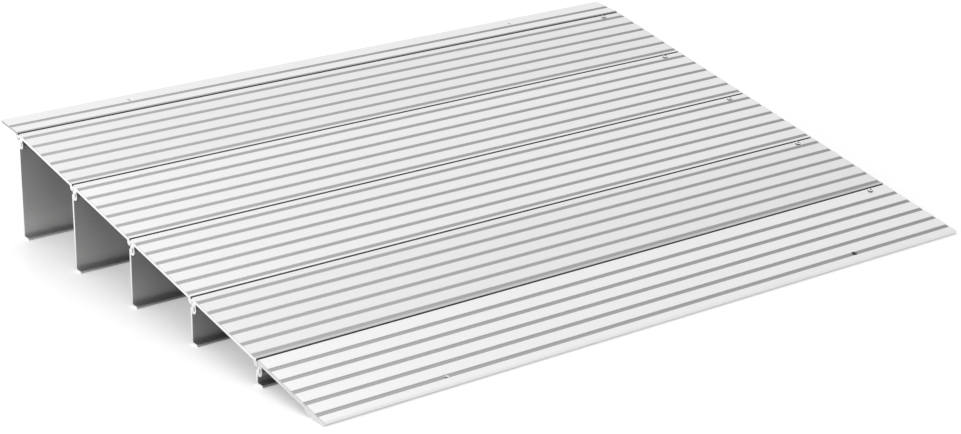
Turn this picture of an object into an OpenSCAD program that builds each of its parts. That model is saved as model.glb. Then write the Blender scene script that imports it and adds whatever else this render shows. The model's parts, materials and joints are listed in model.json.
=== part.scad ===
// Modular aluminium threshold ramp. Extruded ribbed panels are hinged edge to edge and stand on
// plate legs of falling height. A short flap bridges to the sill at the top, and a panel with a
// wedge nose meets the floor at the bottom.
// Frame: +X across the ramp, +Y uphill, +Z up, origin on the floor under the middle of the ramp.
// Profiles are drawn in the plane of the slope, with x uphill from a panel's upper seam and y
// square to the deck, and are extruded across the width.

/* [Deck] */
// Width of the ramp, across the way of travel
deck_w = 914.4; // [600:0.1:1220]
// Distance from seam to seam along the slope
panel_pitch = 130.6; // [115:0.1:160]
// Height gained by each panel
step_rise = 25.4; // [18:0.1:30]
// Length of the lowest panel, from its seam to its front edge
toe_len = 124.7; // [115:0.1:150]
// Height of the deck surface above the floor at the front edge
toe_edge_h = 4.6; // [3:0.1:8]
// Length of the top flap, from its seam to its back edge
flap_len = 45.5; // [40:0.1:80]
// Radius of the front corners of the lowest panel, seen from above
toe_corner_r = 4; // [2:0.5:16]
// Radius of the back corners of the flap, seen from above
flap_corner_r = 3; // [2:0.5:10]

/* [Plate] */
// Thickness of the plate under the grooves
plate_t = 3.4; // [2.8:0.1:4.6]
// Height of the ribs, which is the depth of the grooves
rib_h = 0.6; // [0.4:0.1:1.4]
// Width of a groove
groove_w = 6.2; // [4:0.1:9]
// Distance from groove to groove
groove_pitch = 21.9; // [16:0.1:30]
// Distance from a seam to the middle of the first groove
first_groove = 12.5; // [12:0.1:16]
// The same distance on the lowest panel
toe_first_groove = 22.7; // [18:0.1:28]
// Distance from the top seam to the groove in the flap
flap_groove = 22.3; // [16:0.1:26]

/* [Hinge] */
// Radius of the round bead on the upper edge of a panel
bead_r = 2.4; // [2:0.05:2.8]
// Radial running clearance of the bead in its cup
bead_fit = 0.08; // [0.03:0.01:0.1]
// Wall of the cup that wraps the bead
cup_wall = 1.6; // [1.2:0.1:2]
// Metal left over the bead, under the deck surface
lip_t = 2.1; // [1.6:0.1:3]
// Thickness of the neck that carries the bead
neck_t = 2; // [1.6:0.1:2.2]
// How far a panel folds up from the line of the deck, in degrees
hinge_fold = 24; // [12:1:28]
// Gap left at a seam that is folded up as far as it goes
fold_gap = 0.85; // [0.5:0.05:1.5]
// How far a panel droops from the line of the deck, in degrees
hinge_droop = 2.75; // [1:0.25:4]
// How far the flap hangs below the line of the deck, in degrees
flap_droop = 5.75; // [2:0.25:8]

/* [Leg] */
// Thickness of a leg plate
leg_t = 3; // [2.4:0.1:3.6]
// Depth of the foot, along the way of travel
foot_w = 12; // [9:0.1:24]
// Thickness of the foot
foot_t = 2.6; // [2:0.1:4]
// Radius of the round head of a leg
leg_head_r = 3.7; // [3.2:0.05:4.2]
// Radial running clearance of the head in its socket
leg_fit = 0.08; // [0.03:0.01:0.1]
// Width of the slot in the head of a leg
leg_slot_w = 1.8; // [1.4:0.1:2.4]
// Wall of the socket under a panel
socket_wall = 1.8; // [1.4:0.1:2.6]
// How far a leg swings, foot uphill, in degrees
leg_swing = 25; // [10:1:30]

/* [Fixings] */
// Radius of a lock screw
screw_r = 1.9; // [1.5:0.05:2.1]
// Radius of a lock screw's head
screw_head_r = 3.3; // [2.8:0.1:3.5]
// Height of a lock screw's head
screw_head_h = 1.9; // [1.2:0.1:2.6]
// Distance from the right end of the deck to the lock screws
screw_inset = 30; // [20:1:80]
// Radius of a fixing hole
hole_r = 2.6; // [2:0.1:3.2]
// Radius of the countersink of a fixing hole
hole_sink_r = 3.5; // [3:0.1:4.6]
// Distance from each end of the lowest panel to its fixing hole
hole_inset = 160; // [60:1:240]
// Distance from each end of the flap to its fixing hole
flap_hole_inset = 165; // [60:1:240]

/* [Hidden] */
$fn = 48;

// Overrun of a cut past the face that it opens
over = 1;
// Seams, each with a leg and a lock screw, counted from the top
seam_count = 5;

// Slope and thickness of the deck
slope = asin(step_rise / panel_pitch);
deck_t = plate_t + rib_h;

// Hinge at a seam: the bead lies just uphill of the gap, under the lip of the panel above
bead_back = 1.4;
bead_drop = lip_t + bead_r + bead_fit;
seam_gap = fold_gap + bead_drop * tan(hinge_fold);
lip_end = seam_gap / 2;
bead_at = [bead_back, -bead_drop];
cup_bore_r = bead_r + bead_fit;
cup_r = cup_bore_r + cup_wall;
// Rise of the neck from the bead to the nose, in degrees
neck_angle = 25;
neck_half = asin(neck_t / 2 / cup_bore_r);
neck_len = (lip_end + bead_back + neck_t) / cos(neck_angle);
// Spare angle between the neck and the end of the cup at full droop
stop_spare = 4;
// Least width of plain lip after the last groove
lip_band = 3;

// Socket under a panel, clear of the cup of the panel above at every angle of the hinge
socket_bore_r = leg_head_r + leg_fit;
socket_r = socket_bore_r + socket_wall;
socket_clear = 0.45;
// Direction of the socket from the bead, below the line of the deck
socket_bearing = 45;
socket_reach = cup_r + socket_r + socket_clear;
socket_at = bead_at - socket_reach * [cos(socket_bearing), sin(socket_bearing)];
web_side = bead_back - cup_r - socket_clear - socket_at.x;

// Leg: the plate is flush with the uphill side of the socket
leg_out = socket_r;
leg_in = leg_out - leg_t;
// Height of the plate's top end above the axis of the head
leg_top = 1;
leg_stop_gap = 0.3;
leg_neck_h = 2 * leg_top + leg_t / 2;
// Slot of the hooked head: its place downhill of the axis, and the depth of its floor below the axis
leg_slot_ahead = 1.8;
leg_slot_depth = 2.2;
foot_fillet = 1.6;
socket_lip_angle = asin(leg_top / socket_bore_r) + leg_swing + stop_spare;

// Lowest panel: the nose is an arc that touches the deck surface and the floor
toe_seam_h = toe_edge_h + toe_len * sin(slope);
nose_apex = toe_seam_h / sin(slope);
nose_reach = (nose_apex - toe_len) / (cos(slope / 2) - sin(slope / 2));
nose_r = nose_reach * sin(slope / 2);
nose_at = [nose_reach * cos(slope / 2) - nose_apex, -nose_r];
floor_way = [cos(slope), -sin(slope)];
floor_up = [sin(slope), cos(slope)];
// Length of the flat that rests on the floor, and of the slope behind it
toe_flat = 25;
toe_back = 10;
// Plain band kept at the front edge
toe_band = 10;

// Flap: a thinner plate behind its cup, with a chamfer down to its seam
flap_t = 2.4;
flap_thin = 9;
flap_groove_h = 0.6;
flap_chamfer_l = 4.6;
flap_chamfer_h = 1.6;
flap_hole = 30.6;

// Grooves that fit on a panel and on the lowest panel
groove_n = 1 + floor((panel_pitch - first_groove - groove_w / 2 - lip_end - lip_band) / groove_pitch);
toe_groove_n = 1 + floor((toe_len - toe_first_groove - groove_w / 2 - toe_band) / groove_pitch);

// Lock screw: stands on the band next to the seam and reaches into the socket
screw_x = deck_w / 2 - screw_inset;
screw_play = 0.05;
screw_place_share = 0.8;
screw_room = first_groove - groove_w / 2 - lip_end - 2 * screw_head_r;
screw_ahead = lip_end + screw_head_r + screw_room * screw_place_share;
screw_side = screw_ahead + socket_at.x;
screw_tip = 1.6;
screw_len = screw_tip - socket_at.y - sqrt(pow(socket_bore_r, 2) - pow(screw_side, 2));
screw_drive_shares = [0.75, 0.6];
screw_drive_r = screw_r * screw_drive_shares[0];
screw_drive_h = screw_head_h * screw_drive_shares[1];
screw_rim_share = 0.6;
screw_crown = screw_head_h * (1 - screw_rim_share);
screw_dome_r = (pow(screw_head_r, 2) + pow(screw_crown, 2)) / (2 * screw_crown);
screw_notch = 4 * screw_r;

// Places of the seams, with the whole ramp centred on the origin
flap_angle = slope - flap_droop;
bead_y = bead_back * cos(slope) + bead_drop * sin(slope);
front_y = nose_at.x * cos(slope) - nose_at.y * sin(slope) - nose_r;
flap_back_y = (flap_len - bead_back) * cos(flap_angle) - (bead_drop - flap_t) * sin(flap_angle);
back_y = (seam_count - 1) * panel_pitch * cos(slope) + bead_y + flap_back_y;
toe_seam_y = -(front_y + back_y) / 2;

function seam_y(k) = toe_seam_y + (seam_count - k) * panel_pitch * cos(slope);
function seam_z(k) = toe_seam_h + (seam_count - k) * step_rise;
function axis_y(k) = seam_y(k) + socket_at.x * cos(slope) - socket_at.y * sin(slope);
function axis_z(k) = seam_z(k) + socket_at.x * sin(slope) + socket_at.y * cos(slope);
function polar(r, a) = [r * cos(a), r * sin(a)];

// Extrudes a profile across the deck
module across(w) {
    rotate([90, 0, 90]) linear_extrude(w, center = true) children();
}

// Places a part at seam k, turned into the slope
module at_seam(k) {
    translate([0, seam_y(k), seam_z(k)]) rotate([slope, 0, 0]) children();
}

// Round bead on its neck, at the upper edge of a panel
module bead() {
    translate(bead_at) {
        circle(bead_r);
        rotate(180 - neck_angle) translate([0, -neck_t / 2]) square([neck_len, neck_t]);
    }
}

// Opening of the cup, through which the neck passes, wide enough for that droop
module cup_mouth(droop) {
    reach = 2 * cup_r;
    low_angle = 180 - neck_angle + neck_half + droop + stop_spare;
    polygon([
        bead_at,
        [lip_end, over],
        [-reach, over],
        bead_at + polar(reach, low_angle)
    ]);
}

// Socket for the head of a leg, on a web under the plate and open on its uphill side
module socket() {
    reach = 2 * socket_r;
    translate(socket_at) difference() {
        union() {
            circle(socket_r);
            translate([-socket_bore_r, 0]) square([socket_bore_r + web_side, -socket_at.y - rib_h]);
        }
        circle(socket_bore_r);
        rotate(-slope) polygon([
            [0, 0],
            [leg_in - leg_stop_gap, 0],
            [leg_in - leg_stop_gap, -reach],
            [reach, -reach],
            polar(reach, socket_lip_angle)
        ]);
    }
}

// Row of grooves, counted downhill from the first
module grooves(first, n) {
    for (i = [0 : n - 1])
        translate([-first - i * groove_pitch - groove_w / 2, -rib_h]) square([groove_w, rib_h + over]);
}

// Upper edge that every panel shares
module panel_head() {
    bead();
    socket();
}

// Profile of a deck panel, with the cup for the next panel at its lower end
module deck_profile() {
    panel_head();
    difference() {
        union() {
            translate([-panel_pitch, -deck_t]) square([panel_pitch - lip_end, deck_t]);
            translate(bead_at - [panel_pitch, 0]) circle(cup_r);
        }
        grooves(first_groove, groove_n);
        translate(bead_at - [panel_pitch, 0]) circle(cup_bore_r);
        translate([-panel_pitch, 0]) cup_mouth(hinge_droop);
    }
}

// Profile of the lowest panel, with its wedge nose flat on the floor
module toe_profile() {
    floor_front = nose_at - nose_r * floor_up;
    floor_back = floor_front + toe_flat * floor_way;
    panel_head();
    difference() {
        union() {
            translate([floor_back.x, -deck_t]) square([-floor_back.x - lip_end, deck_t]);
            translate(nose_at) circle(nose_r);
            polygon([
                [nose_at.x, 0],
                nose_at,
                floor_front,
                floor_back,
                [floor_back.x + toe_back, -deck_t],
                [floor_back.x + toe_back, -rib_h],
                [floor_back.x, 0]
            ]);
        }
        grooves(toe_first_groove, toe_groove_n);
    }
}

// Profile of the flap, with its cup at the lower end
module flap_profile() {
    difference() {
        union() {
            polygon([
                [0, -deck_t],
                [bead_back + cup_r, -deck_t],
                [flap_thin, -flap_t],
                [flap_len, -flap_t],
                [flap_len, 0],
                [flap_chamfer_l, 0],
                [0, -flap_chamfer_h]
            ]);
            translate(bead_at) circle(cup_r);
        }
        translate([flap_groove - groove_w / 2, -flap_groove_h]) square([groove_w, flap_groove_h + over]);
        translate(bead_at) circle(cup_bore_r);
        cup_mouth(flap_droop);
    }
}

// Cutter for a corner that is round from above, with the corner at the origin and the metal at -x and -y
module corner_cut(r, h) {
    translate([-r, -r, 0]) linear_extrude(h) difference() {
        square(r + over);
        circle(r);
    }
}

// Countersunk fixing hole through a plate, from its top face down
module fixing_hole(depth) {
    translate([0, 0, -depth]) cylinder(h = depth + over, r = hole_r);
    translate([0, 0, hole_r - hole_sink_r]) cylinder(h = hole_sink_r - hole_r, r1 = hole_r, r2 = hole_sink_r);
    cylinder(h = rib_h + hole_sink_r, r = hole_sink_r);
}

// Hole for the lock screw of a panel, down into the socket
module screw_hole() {
    translate([screw_x, -screw_ahead, socket_at.y])
        cylinder(h = over - socket_at.y, r = screw_r + screw_play);
}

// Deck panel below seam k
module deck_panel(k) {
    color("gainsboro") at_seam(k) difference() {
        across(deck_w) deck_profile();
        screw_hole();
    }
}

// Lowest panel, with two upright holes for floor screws in its last groove
module toe_panel() {
    hole_ahead = toe_first_groove + (toe_groove_n - 1) * groove_pitch;
    hole_y = seam_y(seam_count) - hole_ahead * cos(slope) + rib_h * sin(slope);
    hole_z = seam_z(seam_count) - hole_ahead * sin(slope) - rib_h * cos(slope);
    color("gainsboro") difference() {
        at_seam(seam_count) difference() {
            across(deck_w) toe_profile();
            screw_hole();
        }
        for (side = [-1, 1])
            translate([side * (deck_w / 2 - hole_inset), hole_y, hole_z]) fixing_hole(hole_z + over);
        for (flip = [0, 1])
            mirror([flip, 0, 0])
                translate([deck_w / 2, toe_seam_y + front_y, -over])
                    mirror([0, 1, 0])
                        corner_cut(toe_corner_r, toe_edge_h + toe_corner_r + over);
    }
}

// Flap hung on the bead of the first panel, resting on its stop
module top_flap() {
    color("whitesmoke") at_seam(1)
        translate([0, bead_at.x, bead_at.y])
            rotate([-flap_droop, 0, 0])
                translate([0, -bead_at.x, -bead_at.y])
                    difference() {
                        across(deck_w) flap_profile();
                        for (side = [-1, 1])
                            translate([side * (deck_w / 2 - flap_hole_inset), flap_hole, 0])
                                fixing_hole(deck_t + over);
                        for (flip = [0, 1])
                            mirror([flip, 0, 0])
                                translate([deck_w / 2, flap_len, -deck_t - over])
                                    corner_cut(flap_corner_r, deck_t + 2 * over);
                    }
}

// Profile of a leg whose head is h above the floor
module leg_profile(h) {
    slot_end_r = leg_slot_w / 2;
    difference() {
        union() {
            circle(leg_head_r);
            translate([0, leg_top - leg_neck_h]) square([leg_out - leg_t / 2, leg_neck_h]);
        }
        translate([-leg_slot_ahead, slot_end_r - leg_slot_depth]) {
            circle(slot_end_r);
            translate([-slot_end_r, 0]) square([leg_slot_w, leg_head_r + leg_slot_depth]);
        }
    }
    translate([leg_in, -h]) square([leg_t, h + leg_top]);
    translate([leg_out - foot_w, -h]) square([foot_w, foot_t]);
    translate([leg_in - foot_fillet, foot_t - h]) difference() {
        square(foot_fillet);
        translate([0, foot_fillet]) circle(foot_fillet);
    }
}

// Leg under seam k, with its head notched round the lock screw
module leg(k) {
    reach = leg_head_r + over;
    color("silver") translate([0, axis_y(k), axis_z(k)]) difference() {
        across(deck_w) leg_profile(axis_z(k));
        translate([screw_x - screw_notch / 2, -reach, 0]) {
            translate([0, 0, -reach]) cube([screw_notch, reach + leg_in, 2 * reach]);
            translate([0, 0, leg_top]) cube([screw_notch, 2 * reach, reach]);
        }
    }
}

// Round-headed lock screw at seam k, with a hexagon recess
module lock_screw(k) {
    color("darkgray") at_seam(k) translate([screw_x, -screw_ahead, 0]) difference() {
        union() {
            translate([0, 0, -screw_len]) cylinder(h = screw_len, r = screw_r);
            intersection() {
                cylinder(h = screw_head_h, r = screw_head_r);
                translate([0, 0, screw_head_h - screw_dome_r]) sphere(screw_dome_r);
            }
        }
        translate([0, 0, screw_head_h - screw_drive_h])
            cylinder(h = screw_drive_h + over, r = screw_drive_r, $fn = 6);
    }
}

top_flap();
deck_panel(1);  // deck_panel_1
deck_panel(2);  // deck_panel_2
deck_panel(3);  // deck_panel_3
deck_panel(4);  // deck_panel_4
toe_panel();
leg(1);  // leg_1
leg(2);  // leg_2
leg(3);  // leg_3
leg(4);  // leg_4
leg(5);  // leg_5
lock_screw(1);  // lock_screw_1
lock_screw(2);  // lock_screw_2
lock_screw(3);  // lock_screw_3
lock_screw(4);  // lock_screw_4
lock_screw(5);  // lock_screw_5
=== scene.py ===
"""Looks of a modular aluminium threshold ramp.

Every extruded piece is a merged copy of its solid with broken edges, and each kind of face has a finish of
its own: brushed rib tops, dull groove floors, saw-cut ends, mill metal below the deck. Painted shade darkens
the underside, the hinges, the screws and some ends and holes, and painted light pales some rib tops and walls.
"""

import json
import math
from typing import Callable, NamedTuple

import bpy
from bpy.props import FloatProperty, FloatVectorProperty, IntProperty, PointerProperty
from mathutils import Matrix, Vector


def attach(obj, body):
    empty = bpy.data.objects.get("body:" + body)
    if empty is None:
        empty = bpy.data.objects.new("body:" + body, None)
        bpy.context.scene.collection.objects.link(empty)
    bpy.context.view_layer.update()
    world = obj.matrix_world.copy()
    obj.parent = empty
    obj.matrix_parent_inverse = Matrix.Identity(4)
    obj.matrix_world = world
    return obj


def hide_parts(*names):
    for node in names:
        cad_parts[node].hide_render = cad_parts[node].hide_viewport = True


bl_info = {
    "name": "Threshold Ramp",
    "version": (1, 0, 0),
    "blender": (4, 5, 0),
    "location": "View3D > Sidebar > Ramp",
    "description": "Finishes the pieces of a modular aluminium threshold ramp and sets up its studio",
    "category": "Object",
}

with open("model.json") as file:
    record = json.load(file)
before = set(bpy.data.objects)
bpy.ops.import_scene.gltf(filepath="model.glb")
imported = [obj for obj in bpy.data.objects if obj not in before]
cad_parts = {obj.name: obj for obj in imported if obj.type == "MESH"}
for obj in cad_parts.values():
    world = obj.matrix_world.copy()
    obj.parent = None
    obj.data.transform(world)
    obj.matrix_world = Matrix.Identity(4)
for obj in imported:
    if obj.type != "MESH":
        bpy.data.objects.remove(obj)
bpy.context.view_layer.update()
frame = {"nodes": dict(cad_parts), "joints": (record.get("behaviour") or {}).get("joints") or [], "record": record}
BODY_OF = {node: body for body, nodes in frame["record"]["behaviour"]["bodies"].items() for node in nodes}
HINGES = [Vector((0, *joint["pos_m"][1:])) for joint in frame["joints"] if joint["name"].endswith("_hinge")]
DECK_UP = Vector((1, 0, 0)).cross(HINGES[0] - HINGES[-1]).normalized()
MM = 0.001

# A hinge as seen from its axis: the bore of the cup, and the gap above it with its edges and its depth
BORE_REACH = 2.7 * MM
GAP_REACH = 4.4 * MM
GAP_EDGE_REACH = 5.6 * MM
GAP_DEPTH = 3.4 * MM

# Depth within which a face counts as part of the wearing surface, and the deepest groove
SKIN = 0.05 * MM
GROOVE_DEPTH = 2 * MM
# Length at each end of the deck that holds the sawn end and its round corner, and depth of the rounded nose
END_ZONE = 8 * MM
NOSE_ZONE = 6 * MM
# How far a normal leans along X on a face that isn't part of the extrusion
OFF_PROFILE = 0.02
# How far a normal points up on a level face, on the floor of a groove and on the top of the nose
LEVEL = 0.9
FLOOR_RISE = 0.5
NOSE_RISE = 0.55
# Least area of a groove floor, as a share of the widest rib's
FLOOR_SHARE = 1 / 9
# How far a normal points along X on the sawn end of a leg
LEG_END = 0.9
# How far the normals of a screw's crown point up, between the shank and the flat recess
CROWN_RISE = (0.5, 0.999)
# Least length of a line across the ramp, and least share of it along X
LINE_LENGTH = 5 * MM
LINE_STRAIGHT = 0.999
# Y of the lowest legs, below which the painted shade on the legs stays the same
LOW_LEGS = -70 * MM
# Angle within which neighbouring triangles are one flat face
FLAT_ANGLE = math.radians(0.2)
# X of the directions between which the mirrored backdrop fades, first gently and then at the far right
NEAR_FADE = (0.25, 0.65)
FAR_FADE = (0.68, 0.95)


def nodes_like(stem):
    """Names of the CAD nodes that start with stem, in order."""
    return sorted(name for name in frame["nodes"] if name.startswith(stem))


def colour(name, description, value):
    """Colour that a user would change."""
    return FloatVectorProperty(name=name, description=description, subtype="COLOR", min=0, max=1,
                               default=value)


def share(name, description, value, top=1.0):
    """Plain number from zero up."""
    return FloatProperty(name=name, description=description, min=0, max=top, default=value)


def length(name, description, value):
    """Length in metres."""
    return FloatProperty(name=name, description=description, unit="LENGTH", subtype="DISTANCE", min=0,
                         default=value)


def watts(name, description, value):
    """Power of a lamp in watts."""
    return FloatProperty(name=name, description=description, unit="POWER", min=0, default=value)


def point(name, description, value):
    """Point in metres."""
    return FloatVectorProperty(name=name, description=description, unit="LENGTH", subtype="XYZ",
                               default=value)


class RampFinish(bpy.types.PropertyGroup):
    """Colours and gloss of the metal."""

    rib: colour("Rib tops", "Brushed metal that feet and wheels touch", (0.855, 0.855, 0.855))
    # Painted shade: a darker tone of the rib tops for some panels
    shaded_grey_rib: colour("Grey rib tops", "The same on panels of a duller batch", (0.82, 0.82, 0.82))
    # Painted light: a paler tone of the rib tops for the lowest panel
    lit_pale_rib: colour("Pale rib tops", "The same on the lowest panel, rubbed most", (0.88, 0.88, 0.88))
    # Painted shade on the lip above the lowest seam
    lip: colour("Scuffed lip", "Lip of a panel that hangs over the seam below it", (0.58, 0.58, 0.58))
    groove: colour("Grooves", "Dull metal between the ribs", (0.41, 0.41, 0.41))
    # Painted light: the rib sides are lighter than the groove floors to even out their shade
    wall: colour("Groove walls", "Sides of the ribs", (0.75, 0.75, 0.75))
    edge: colour("Broken edges", "Metal worn bright along the rib edges", (0.9, 0.9, 0.9))
    end: colour("Sawn ends", "Freshly cut ends of the extrusions", (0.93, 0.93, 0.93))
    # Painted shade on the ends of the lowest panel
    shaded_dull_end: colour("Dull ends", "Ends of the lowest panel, which is handled most", (0.7, 0.7, 0.705))
    # Painted shade on the edges of the sawn ends and on the ends of the flap
    filed: colour("Filed edges", "Edges of the sawn ends, and ends of the flap", (0.46, 0.46, 0.46))
    nose: colour("Nose", "Front of the lowest panel, rubbed pale", (0.86, 0.86, 0.86))
    # Darkened with painted shade below the deck
    mill: colour("Mill metal", "Metal as it left the press, below the deck", (0.42, 0.42, 0.42))
    # Painted shade inside the hinges, over dirt and rubbed metal
    hinge: colour("Hinges", "Dirt and rubbed metal inside the hinges", (0.25, 0.25, 0.25))
    leg: colour("Legs", "Dull plate of the legs", (0.56, 0.56, 0.557))
    screw: colour("Screws", "Zinc plate of the lock screws", (0.86, 0.86, 0.855))
    # Painted shade on the rims and recesses of the screws and in other dark corners
    recess: colour("Dirt", "Rim and recess of a screw, and other dirty corners", (0.12, 0.12, 0.12))
    rib_roughness: share("Rib roughness", "Roughness of the brushed rib tops", 0.36)
    groove_roughness: share("Groove roughness", "Roughness of the groove floors", 0.58)
    end_roughness: share("End roughness", "Roughness of the sawn ends", 0.34)
    mill_roughness: share("Mill roughness", "Roughness of plain mill metal", 0.46)
    screw_roughness: share("Screw roughness", "Roughness of the zinc plate", 0.3)


class RampEdges(bpy.types.PropertyGroup):
    """Small shapes that the finish adds to the solids."""

    rib: length("Rib edge", "Width of the broken edge along a rib", 0.2 * MM)
    gap: length("Gap edge", "Width of the broken edge along a gap between panels", 0.15 * MM)
    leg: length("Leg edge", "Width of the broken edge along a leg", 0.3 * MM)
    end: length("End edge", "Width of the filed edge at the end of a panel", 0.3 * MM)
    handled: length("Handled edge", "The same on the lowest panel, which is handled most", 0.8 * MM)
    steps: IntProperty(name="Steps", description="Faces across a broken edge", min=1, max=6, default=3)
    sharp: FloatProperty(name="Sharp from", description="Least angle that counts as an edge",
                         subtype="ANGLE", default=math.radians(35))
    merge: length("Merge", "Distance within which the corners of loose triangles are joined", 0.001 * MM)


class RampStudio(bpy.types.PropertyGroup):
    """Floor, light and camera."""

    floor_side: length("Floor side", "Side of the square floor", 40.0)
    floor_drop: length("Floor drop", "Gap that keeps the floor off the feet", 0.1 * MM)
    floor_paint: colour("Floor", "Pale paint of the floor", (0.79, 0.79, 0.79))
    floor_lift: share("Floor lift", "Light of its own that the camera sees on the floor", 0.31)
    floor_mirror: share("Mirrored floor", "How much paler the floor is in metal that mirrors it", 0.27)
    floor_gloss: share("Floor gloss", "Share of polish on the floor", 0.05)
    floor_roughness: share("Floor roughness", "Roughness of the polish on the floor", 0.12)
    sky_top: share("Sky", "Strength of the soft light from above", 0.9, 4)
    sky_side: share("Horizon", "Strength of the soft light from the sides", 0.55, 4)
    mirror_left: share("Mirrored left", "Strength of the backdrop that metal mirrors on the left", 1.0)
    mirror_right: share("Mirrored right", "Strength of the backdrop that metal mirrors on the right", 0.935)
    mirror_far: share("Mirrored far right", "Share of that strength left at the far right", 0.6)
    box_power: watts("Softbox", "Power of the softbox over the ramp", 20.0)
    box_side: length("Softbox side", "Side of the square softbox", 2.6)
    box_place: point("Softbox place", "Middle of the softbox", (-0.6, 1.2, 2.8))
    side_power: watts("Side light", "Power of the softbox on the left", 30.0)
    side_width: length("Side light width", "Side of the square softbox on the left", 1.3)
    side_place: point("Side place", "Middle of the softbox on the left", (-2.8, 0.4, 0.7))
    camera_place: point("Camera place", "Where the camera stands", (-1.63504, -2.11859, 1.02234))
    camera_turn: FloatVectorProperty(name="Camera turn", description="How the camera is turned",
                                     unit="ROTATION", subtype="EULER",
                                     default=[math.radians(a) for a in (69.4162, -0.7212, -37.3172)])
    camera_lens: FloatProperty(name="Lens", description="Focal length in millimetres",
                               subtype="DISTANCE_CAMERA", default=89.409)


class Value:
    """One output of a shader node, which can stand in a sum."""

    def __init__(self, sheet, socket):
        self.sheet = sheet
        self.socket = socket

    def math(self, operation, other, swapped=False):
        pair = (other, self) if swapped else (self, other)
        return self.sheet.add("Math", {"operation": operation}, dict(enumerate(pair)))

    def __add__(self, other):
        return self.math("ADD", other)

    def __sub__(self, other):
        return self.math("SUBTRACT", other)

    def __rsub__(self, other):
        return self.math("SUBTRACT", other, True)

    def __mul__(self, other):
        return self.math("MULTIPLY", other)

    __radd__ = __add__
    __rmul__ = __mul__


class Sheet:
    """Node tree of one finish, built up node by node."""

    def __init__(self, owner):
        owner.use_nodes = True
        self.tree = owner.node_tree
        self.tree.nodes.clear()

    def add(self, kind, settings=None, inputs=None, output=0):
        """Adds a node, sets it up, joins its inputs and gives back one of its outputs."""
        node = self.tree.nodes.new("ShaderNode" + kind)
        for name, value in (settings or {}).items():
            if name == "stops":
                for stop, (place, shade) in zip(node.color_ramp.elements, value):
                    stop.position = place
                    stop.color = (shade, shade, shade, 1)
            else:
                setattr(node, name, value)
        for name, value in (inputs or {}).items():
            if isinstance(value, Value):
                self.tree.links.new(value.socket, node.inputs[name])
            else:
                node.inputs[name].default_value = value
        return Value(self, node.outputs[output])

    def noise(self, per_metre, detail=2.0, roughness=0.5):
        """Noise from 0 to 1 with its own number of changes per metre along X, Y and Z."""
        spot = self.add("TexCoord", output="Object")
        spot = self.add("Mapping", None, {"Vector": spot, "Scale": per_metre})
        return self.add("TexNoise", None, {"Vector": spot, "Scale": 1.0, "Detail": detail,
                                           "Roughness": roughness})

    def along(self, axis):
        """Place along one axis of the object."""
        return self.add("SeparateXYZ", None, {0: self.add("TexCoord", output="Object")}, output=axis)

    def shaded(self, tone, shade):
        """Colour tone times the number shade."""
        return self.add("VectorMath", {"operation": "SCALE"}, {0: tone, "Scale": shade})

    def fade(self, value, span, ends):
        """Goes from one end to the other while value crosses the span."""
        return self.add("MapRange", None, {"Value": value, "From Min": span[0], "From Max": span[1],
                                           "To Min": ends[0], "To Max": ends[1]})

    def ray(self, kind):
        """1 for rays of that kind."""
        return self.add("LightPath", output=f"Is {kind} Ray")

    def bump(self, height, strength, depth):
        """Normal of a surface that rises by depth where height is 1."""
        return self.add("Bump", None, {"Strength": strength, "Distance": depth, "Height": height})

    def metal(self, **inputs):
        """Ends the sheet in bare metal."""
        named = {name.replace("_", " ").title(): value for name, value in inputs.items()}
        self.show(self.add("BsdfPrincipled", None, {"Metallic": 1.0, **named}))

    def show(self, surface, kind="OutputMaterial"):
        """Makes a shader the surface."""
        self.tree.links.new(surface.socket, self.tree.nodes.new("ShaderNode" + kind).inputs["Surface"])


def new_finish(name):
    """Empty material and the sheet to build it on."""
    material = bpy.data.materials.new(name)
    return material, Sheet(material)


def brushed(look, name, tone):
    """Rib tops: fine brush lines along the rib, soft clouds, a few rubbed patches."""
    material, s = new_finish(name)
    lines = s.noise((3, 900, 900), 3.0, 0.6)
    hair = s.noise((40, 4200, 4200), 2.0)
    cloud = s.noise((5, 9, 9), 3.0)
    rubbed = s.add("ValToRGB", {"stops": ((0.52, 0.0), (0.7, 1.0))}, {0: s.noise((9, 26, 26), 4.0, 0.65)})
    s.metal(base_color=s.shaded(tone, 0.965 + lines * 0.05 + cloud * 0.03 - rubbed * 0.02),
            roughness=look.rib_roughness - 0.07 + hair * 0.1 + rubbed * 0.07,
            normal=s.bump(lines * 0.7 + hair * 0.3, 0.25, 0.03 * MM))
    return material


def brushed_rib(look):
    """Rib tops of most panels."""
    return brushed(look, "brushed_rib", look.rib)


def shaded_grey_rib(look):
    """Rib tops of the panels that take painted shade, a darker copy of the brushed rib."""
    return brushed(look, "shaded_grey_rib", look.shaded_grey_rib)


def lit_pale_rib(look):
    """Rib tops of the lowest panel, a paler copy of the brushed rib with painted light."""
    return brushed(look, "lit_pale_rib", look.lit_pale_rib)


def shaded_lip(look):
    """Lip above the lowest seam, a darker copy of the brushed rib with painted shade."""
    return brushed(look, "shaded_lip", look.lip)


def dull_groove(look):
    """Grooves: matt floor with the lines of the die, dust in the corners, and painted shade that darkens them
    towards the right.
    """
    material, s = new_finish("dull_groove")
    die = s.noise((1.5, 1300, 1300), 2.0)
    dust = s.noise((70, 160, 160), 5.0, 0.7)
    cloud = s.noise((4, 8, 8), 3.0)
    # Painted shade: the grooves get darker towards the right
    shade_and_dirt = s.along("X") * 0.22
    s.metal(base_color=s.shaded(look.groove, 0.86 - shade_and_dirt + die * 0.1 + cloud * 0.08 + dust * 0.05),
            roughness=look.groove_roughness - 0.06 + dust * 0.12,
            normal=s.bump(die * 0.8 + dust * 0.2, 0.35, 0.05 * MM))
    return material


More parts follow.
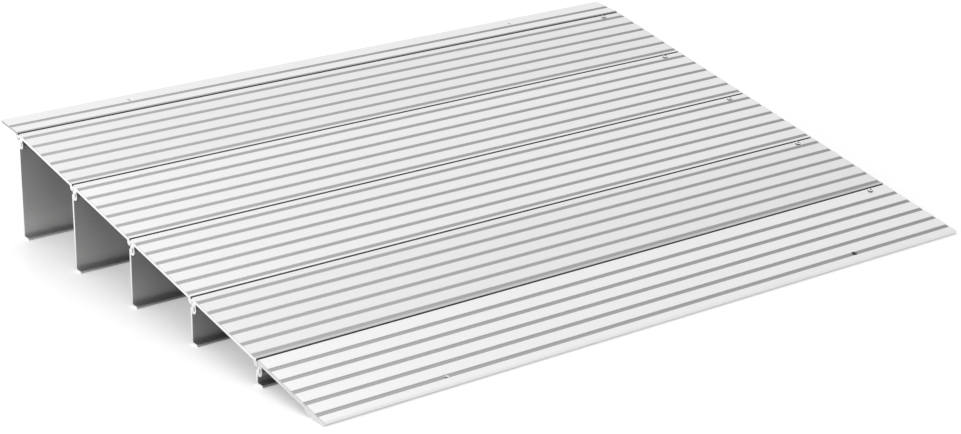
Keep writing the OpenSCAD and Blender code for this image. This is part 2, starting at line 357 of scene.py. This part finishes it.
def groove_wall(look):
    """Sides of the ribs, drawn smooth by the die, with dust low down, and painted lighter than the groove floors
    to even out their shade.
    """
    material, s = new_finish("groove_wall")
    die = s.noise((1.5, 1500, 1500), 2.0)
    dust = s.noise((60, 160, 160), 5.0, 0.7)
    s.metal(base_color=s.shaded(look.wall, 0.9 + die * 0.12 + dust * 0.06),
            roughness=look.groove_roughness - 0.08 + dust * 0.12)
    return material


def worn_edge(look):
    """Broken edges, rubbed bright in places."""
    material, s = new_finish("worn_edge")
    rub = s.noise((30, 60, 60), 4.0, 0.65)
    s.metal(base_color=s.shaded(look.edge, 0.9 + rub * 0.12), roughness=0.42 - rub * 0.2)
    return material


def sawn(name, tone, roughness):
    """Sawn metal with the marks of the saw square to the deck."""
    material, s = new_finish(name)
    marks = s.noise((500, 2600, 120), 3.0, 0.6)
    s.metal(base_color=s.shaded(tone, 0.94 + marks * 0.08),
            roughness=roughness - 0.05 + marks * 0.12,
            normal=s.bump(marks, 0.2, 0.03 * MM))
    return material


def saw_cut_end(look):
    """Bright ends of the extrusions."""
    return sawn("saw_cut_end", look.end, look.end_roughness)


def shaded_dull_end(look):
    """Ends of the lowest panel, duller and darkened with painted shade."""
    return sawn("shaded_dull_end", look.shaded_dull_end, look.mill_roughness)


def shaded_filed_edge(look):
    """Dull edges of the sawn ends, and ends of the flap, darkened with painted shade."""
    return sawn("shaded_filed_edge", look.filed, look.mill_roughness)


def worn_nose(look):
    """Front of the lowest panel, rubbed pale and matt by shoes and wheels."""
    material, s = new_finish("worn_nose")
    rub = s.noise((12, 90, 90), 4.0, 0.65)
    s.metal(base_color=s.shaded(look.nose, 0.93 + rub * 0.07), roughness=0.46 + rub * 0.14)
    return material


def mill_metal(look):
    """Metal below the deck, as it left the press: long die lines and grey stains, in a tone darkened with painted
    shade.
    """
    material, s = new_finish("mill_metal")
    die = s.noise((1.2, 700, 700), 3.0)
    stain = s.noise((6, 14, 14), 5.0, 0.7)
    s.metal(base_color=s.shaded(look.mill, 0.86 + die * 0.12 + stain * 0.12),
            roughness=look.mill_roughness - 0.07 + stain * 0.16,
            normal=s.bump(die, 0.3, 0.04 * MM))
    return material


def hinge_shade_and_grime(look):
    """Inside of the hinges: painted shade in the gaps and bores, on rubbed metal with old dirt in it."""
    material, s = new_finish("hinge_shade_and_grime")
    shade_and_dirt = s.noise((45, 300, 300), 4.0, 0.65)
    s.metal(base_color=s.shaded(look.hinge, 0.6 + shade_and_dirt * 0.8), roughness=0.45 + shade_and_dirt * 0.2)
    return material


def leg_plate(look):
    """Legs: dull plate with long die lines and a few drag marks, and painted shade that darkens the legs down the
    ramp.
    """
    material, s = new_finish("leg_plate")
    die = s.noise((1.0, 600, 600), 3.0)
    drag = s.noise((14, 14, 260), 4.0, 0.7)
    stain = s.noise((7, 7, 9), 4.0)
    # Painted shade: the legs get darker down the ramp, down to LOW_LEGS
    downhill_shade = s.along("Y").math("MAXIMUM", LOW_LEGS) * 0.9
    s.metal(base_color=s.shaded(look.leg, 0.78 + downhill_shade + die * 0.1 + stain * 0.1 + drag * 0.06),
            roughness=look.mill_roughness - 0.06 + stain * 0.14,
            normal=s.bump(die * 0.6 + drag * 0.4, 0.25, 0.04 * MM))
    return material


def zinc_screw(look):
    """Zinc plate of the screws, a little cloudy."""
    material, s = new_finish("zinc_screw")
    cloud = s.noise((420, 420, 420), 4.0, 0.6)
    s.metal(base_color=s.shaded(look.screw, 0.88 + cloud * 0.22),
            roughness=look.screw_roughness - 0.06 + cloud * 0.14)
    return material


def painted_recess_shade(look):
    """Painted shade on the rim and drive recess of a screw, and in other dark corners."""
    material, s = new_finish("painted_recess_shade")
    shade_and_dirt = s.noise((900, 900, 900), 3.0)
    s.metal(base_color=s.shaded(look.recess, 0.7 + shade_and_dirt * 0.5), roughness=0.5 + shade_and_dirt * 0.2)
    return material


def finish(maker):
    """Material of that maker, made once."""
    known = bpy.data.materials.get(maker.__name__)
    return known or maker(bpy.context.scene.ramp_finish)


# Finishes of a deck piece after the one of its ribs, and the slots of them all
OTHER_FACES = (shaded_lip, dull_groove, groove_wall, saw_cut_end, shaded_dull_end, shaded_filed_edge, worn_nose,
               mill_metal, worn_edge, hinge_shade_and_grime, painted_recess_shade)
RIB, LIP, GROOVE, WALL, END, SHADED_DULL_END, SHADED_FILED, NOSE, MILL, EDGE, HINGE, RECESS_SHADE = range(1 + len(OTHER_FACES))
LEG_FACES = (leg_plate, saw_cut_end, worn_edge)
PLATE, SAWN, LEG_EDGE = range(len(LEG_FACES))
SCREW_FACES = (zinc_screw, painted_recess_shade)
CROWN, RECESS = range(len(SCREW_FACES))


class DeckLook(NamedTuple):
    """Finishes by which one piece of the deck differs from another, and how deep its rubbed nose is."""

    rib: Callable = brushed_rib
    end: int = END
    left_hole: int = MILL
    right_hole: int = MILL
    gap: int = HINGE
    lip: int = RIB
    nose: float = 0.0


# The first and fourth panels take the rib tops with painted shade, and the fourth also the lip with painted shade
PANEL_LOOKS = (DeckLook(rib=shaded_grey_rib), DeckLook(), DeckLook(), DeckLook(rib=shaded_grey_rib, lip=LIP))
# Lowest panel: its left hole painted lighter to hide its shade, its right hole dark with painted shade
TOE_LOOK = DeckLook(rib=lit_pale_rib, end=SHADED_DULL_END, left_hole=WALL, right_hole=RECESS_SHADE, nose=NOSE_ZONE)
# Flap: ends and gap with painted shade, its holes painted as light as rib and wall to hide their shade
FLAP_LOOK = DeckLook(end=SHADED_FILED, left_hole=RIB, right_hole=WALL, gap=RECESS_SHADE)


def pick_only(piece):
    """Makes piece the one selected and active object."""
    bpy.ops.object.select_all(action="DESELECT")
    piece.select_set(True)
    bpy.context.view_layer.objects.active = piece


def merged_copy(node, name):
    """Copy of a CAD node as one joined surface with flat faces whole, riding in the node's place."""
    edges = bpy.context.scene.ramp_edges
    solid = frame["nodes"][node]
    piece = bpy.data.objects.new(name, solid.data.copy())
    bpy.context.scene.collection.objects.link(piece)
    pick_only(piece)
    bpy.ops.object.mode_set(mode="EDIT")
    bpy.ops.mesh.select_all(action="SELECT")
    bpy.ops.mesh.customdata_custom_splitnormals_clear()
    bpy.ops.mesh.remove_doubles(threshold=edges.merge)
    bpy.ops.mesh.dissolve_limited(angle_limit=FLAT_ANGLE)
    bpy.ops.object.mode_set(mode="OBJECT")
    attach(piece, BODY_OF[node])
    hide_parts(node)
    return piece


def give_finishes(piece, makers, kind_of):
    """Puts the finishes on a piece and gives each face the one that kind_of names."""
    piece.data.materials.clear()
    for maker in makers:
        piece.data.materials.append(finish(maker))
    for face in piece.data.polygons:
        face.material_index = kind_of(face)


def pick_edges(piece, wanted):
    """Selects the edges that wanted agrees to, from their ends and the two faces at their sides."""
    mesh = piece.data
    sides = {}
    for face in mesh.polygons:
        for key in face.edge_keys:
            sides.setdefault(key, []).append(face)
    for element in (*mesh.vertices, *mesh.edges, *mesh.polygons):
        element.select = False
    for edge in mesh.edges:
        faces = sides[edge.key]
        edge.select = len(faces) == 2 and wanted(*(mesh.vertices[i].co for i in edge.vertices), *faces)


def sharp_lines(piece, wanted):
    """Selects the sharp edges that run straight across the ramp and that wanted agrees to."""
    least = math.cos(bpy.context.scene.ramp_edges.sharp)

    def sharp_line(first, last, face, other):
        run = last - first
        straight = abs(run.x) > LINE_LENGTH and abs(run.x) > LINE_STRAIGHT * run.length
        return straight and face.normal.dot(other.normal) < least and wanted((first + last) / 2)

    pick_edges(piece, sharp_line)


def end_lines(piece, end):
    """Selects the edges between the sawn ends of a piece and its upper side."""
    upper = (RIB, LIP, GROOVE, WALL)

    def end_line(first, last, *faces):
        kinds = [face.material_index for face in faces]
        return end in kinds and any(kind in upper for kind in kinds)

    pick_edges(piece, end_line)


def break_edges(piece, width, slot, clamp=True):
    """Rounds the selected edges a little, with the finish in that slot."""
    pick_only(piece)
    bpy.context.tool_settings.mesh_select_mode = (False, True, False)
    bpy.ops.object.mode_set(mode="EDIT")
    bpy.ops.mesh.bevel(offset=width, segments=bpy.context.scene.ramp_edges.steps, affect="EDGES",
                       clamp_overlap=clamp, material=slot)
    bpy.ops.object.mode_set(mode="OBJECT")


def smooth(piece):
    """Smooth shading, but for sharp edges, with the large flat faces kept flat."""
    pick_only(piece)
    bpy.ops.object.shade_smooth_by_angle(angle=bpy.context.scene.ramp_edges.sharp)
    even = piece.modifiers.new("flat_faces", "WEIGHTED_NORMAL")
    even.keep_sharp = True
    bpy.ops.object.modifier_apply(modifier=even.name)


def off_hinge(place):
    """Distance from the nearest hinge axis."""
    return min((Vector((0, *place.yz)) - hinge).length for hinge in HINGES)


def deck_piece(node, name, end_edge, look):
    """Ribbed piece of the deck: finds its wearing surface and sorts its faces by their depth below that."""
    edges = bpy.context.scene.ramp_edges
    piece = merged_copy(node, name)
    flats = [face for face in piece.data.polygons if face.normal.z > LEVEL]
    wearing = max(flats, key=lambda face: face.area)
    up, level = wearing.normal.copy(), wearing.normal.dot(wearing.center)
    half_width = max(corner.co.x for corner in piece.data.vertices)
    nose_end = min(corner.co.y for corner in piece.data.vertices) + look.nose

    def height(place):
        return up.dot(place) - level

    floors = [height(face.center) for face in flats if face.area > wearing.area * FLOOR_SHARE]
    depth = min(floor for floor in floors if floor > -GROOVE_DEPTH) - SKIN
    lip_at = min(face.center.y for face in flats if height(face.center) > -SKIN)

    def kind_of(face):
        below, rise = height(face.center), up.dot(face.normal)
        if abs(face.normal.x) > OFF_PROFILE:
            if abs(face.center.x) > half_width - END_ZONE:
                return look.end
            return look.right_hole if face.center.x > 0 else look.left_hole
        if below > -SKIN:
            return RIB if face.center.y > lip_at else look.lip
        # Faces in the gap and bore of a hinge take painted shade
        if off_hinge(face.center) < (GAP_REACH if below > -GAP_DEPTH else BORE_REACH):
            return look.gap
        if face.center.y < nose_end:
            return RIB if rise > NOSE_RISE else NOSE
        # Faces below the grooves take the mill metal, darkened with painted shade
        if below < depth:
            return MILL
        # Rib sides take the wall finish, painted lighter to even out their shade
        return GROOVE if rise > FLOOR_RISE else WALL

    give_finishes(piece, (look.rib, *OTHER_FACES), kind_of)
    # The edges between the sawn ends and the top take the filed edge, darkened with painted shade
    end_lines(piece, look.end)
    break_edges(piece, end_edge, SHADED_FILED, clamp=False)
    sharp_lines(piece, lambda place: height(place) > depth and off_hinge(place) > GAP_EDGE_REACH)
    break_edges(piece, edges.rib, EDGE)
    # The broken edges along the gaps take the painted shade of the hinges too
    sharp_lines(piece, lambda place: height(place) > depth and off_hinge(place) < GAP_EDGE_REACH)
    break_edges(piece, edges.gap, look.gap)
    smooth(piece)


class RAMP_OT_panels(bpy.types.Operator):
    """Ribbed panels of the deck, the lowest one with its wedge nose"""

    bl_idname = "ramp.panels"
    bl_label = "Deck Panels"

    def execute(self, context):
        edges = context.scene.ramp_edges
        for number, (node, look) in enumerate(zip(nodes_like("deck_panel"), PANEL_LOOKS), 1):
            deck_piece(node, f"ribbed_panel_{number}", edges.end, look)
        deck_piece("toe_panel", "wedge_panel", edges.handled, TOE_LOOK)
        return {"FINISHED"}


class RAMP_OT_flap(bpy.types.Operator):
    """Thin flap that bridges to the sill"""

    bl_idname = "ramp.flap"
    bl_label = "Sill Flap"

    def execute(self, context):
        deck_piece("top_flap", "sill_flap", context.scene.ramp_edges.end, FLAP_LOOK)
        return {"FINISHED"}


class RAMP_OT_legs(bpy.types.Operator):
    """Plate legs, with sawn ends and broken edges along the foot"""

    bl_idname = "ramp.legs"
    bl_label = "Legs"

    def execute(self, context):
        for number, node in enumerate(nodes_like("leg_"), 1):
            piece = merged_copy(node, f"plate_leg_{number}")
            give_finishes(piece, LEG_FACES, lambda face: SAWN if abs(face.normal.x) > LEG_END else PLATE)
            sharp_lines(piece, lambda place: True)
            break_edges(piece, context.scene.ramp_edges.leg, LEG_EDGE)
            smooth(piece)
        return {"FINISHED"}


class RAMP_OT_screws(bpy.types.Operator):
    """Round-headed lock screws with a hexagon recess"""

    bl_idname = "ramp.screws"
    bl_label = "Lock Screws"

    def execute(self, context):
        low, high = CROWN_RISE
        for number, node in enumerate(nodes_like("lock_screw"), 1):
            piece = merged_copy(node, f"button_screw_{number}")
            # All but the crown, so the rim and the recess of the screw, take painted shade
            give_finishes(piece, SCREW_FACES,
                          lambda face: CROWN if low < DECK_UP.dot(face.normal) < high else RECESS)
            smooth(piece)
        return {"FINISHED"}


class RAMP_OT_studio(bpy.types.Operator):
    """Pale floor, soft light and the camera"""

    bl_idname = "ramp.studio"
    bl_label = "Studio"

    def execute(self, context):
        studio = context.scene.ramp_studio
        self.floor(studio)
        self.sky(context.scene, studio)
        self.softbox("top_softbox", studio.box_place, studio.box_power, studio.box_side)
        self.softbox("side_softbox", studio.side_place, studio.side_power, studio.side_width)
        self.camera(context.scene, studio)
        context.scene.view_settings.view_transform = "Standard"
        return {"FINISHED"}

    def floor(self, studio):
        """Pale floor that keeps its soft shadows and a faint polish."""
        bpy.ops.mesh.primitive_plane_add(size=studio.floor_side, location=(0, 0, -studio.floor_drop))
        floor = bpy.context.active_object
        floor.name = "studio_floor"
        material, s = new_finish("floor_paint")
        mirrored = (s.ray("Glossy") + s.ray("Transmission")).math("MINIMUM", 1.0)
        paint = s.shaded(studio.floor_paint, 1.0 + mirrored * studio.floor_mirror)
        flat = s.add("BsdfDiffuse", None, {"Color": paint})
        lift = s.add("Emission", None, {"Strength": studio.floor_lift})
        pale = s.add("AddShader", None, {0: flat, 1: lift})
        lifted = s.add("MixShader", None, {0: s.ray("Camera"), 1: flat, 2: pale})
        polish = s.add("BsdfGlossy", None, {"Roughness": studio.floor_roughness})
        s.show(s.add("MixShader", None, {0: studio.floor_gloss, 1: lifted, 2: polish}))
        floor.data.materials.append(material)

    def sky(self, scene, studio):
        """White backdrop, which metal mirrors darker on the right, and soft light, strongest overhead."""
        scene.world = bpy.data.worlds.new("studio_sky")
        s = Sheet(scene.world)
        way = s.add("TexCoord", output="Generated")
        height = s.add("SeparateXYZ", None, {0: way}, output="Z").math("MAXIMUM", 0.0)
        light = studio.sky_side + height * (studio.sky_top - studio.sky_side)
        across = s.add("SeparateXYZ", None, {0: way}, output="X")
        near = s.fade(across, NEAR_FADE, (studio.mirror_left, studio.mirror_right))
        far = s.fade(across, FAR_FADE, (1.0, studio.mirror_far))
        mirrored = near * far
        seen = s.ray("Camera") + s.ray("Transmission")
        glossy = s.ray("Glossy")
        strength = (seen + glossy * mirrored + (1 - seen - glossy) * light).math("MINIMUM", 1.0)
        s.show(s.add("Background", None, {"Color": (1, 1, 1, 1), "Strength": strength}), "OutputWorld")

    def softbox(self, name, place, power, side):
        """Square softbox that faces the ramp."""
        bpy.ops.object.light_add(type="AREA", location=place)
        lamp = bpy.context.active_object
        lamp.name = name
        lamp.rotation_euler = Vector(place).to_track_quat("Z", "Y").to_euler()
        lamp.data.size = side
        lamp.data.energy = power

    def camera(self, scene, studio):
        """Camera that looks up the ramp from the front left."""
        bpy.ops.object.camera_add(location=studio.camera_place, rotation=studio.camera_turn)
        scene.camera = bpy.context.active_object
        scene.camera.name = "ramp_camera"
        scene.camera.data.lens = studio.camera_lens


class RAMP_PT_panel(bpy.types.Panel):
    """Lists the pieces of the ramp"""

    bl_idname = "RAMP_PT_panel"
    bl_label = "Threshold Ramp"
    bl_space_type = "VIEW_3D"
    bl_region_type = "UI"
    bl_category = "Ramp"

    def draw(self, context):
        for operator in OPERATORS:
            self.layout.operator(operator.bl_idname)
        for group in (context.scene.ramp_finish, context.scene.ramp_edges, context.scene.ramp_studio):
            box = self.layout.box()
            for name in group.__annotations__:
                box.prop(group, name)


GROUPS = {"ramp_finish": RampFinish, "ramp_edges": RampEdges, "ramp_studio": RampStudio}
OPERATORS = (RAMP_OT_panels, RAMP_OT_flap, RAMP_OT_legs, RAMP_OT_screws, RAMP_OT_studio)


def register():
    for kind in (*GROUPS.values(), *OPERATORS, RAMP_PT_panel):
        bpy.utils.register_class(kind)
    for name, group in GROUPS.items():
        setattr(bpy.types.Scene, name, PointerProperty(type=group))


def unregister():
    for name in GROUPS:
        delattr(bpy.types.Scene, name)
    for kind in reversed((*GROUPS.values(), *OPERATORS, RAMP_PT_panel)):
        bpy.utils.unregister_class(kind)


def main():
    """Dresses the ramp and sets up its studio."""
    register()
    bpy.ops.ramp.panels()
    bpy.ops.ramp.flap()
    bpy.ops.ramp.legs()
    bpy.ops.ramp.screws()
    bpy.ops.ramp.studio()


if __name__ == "__main__":
    main()
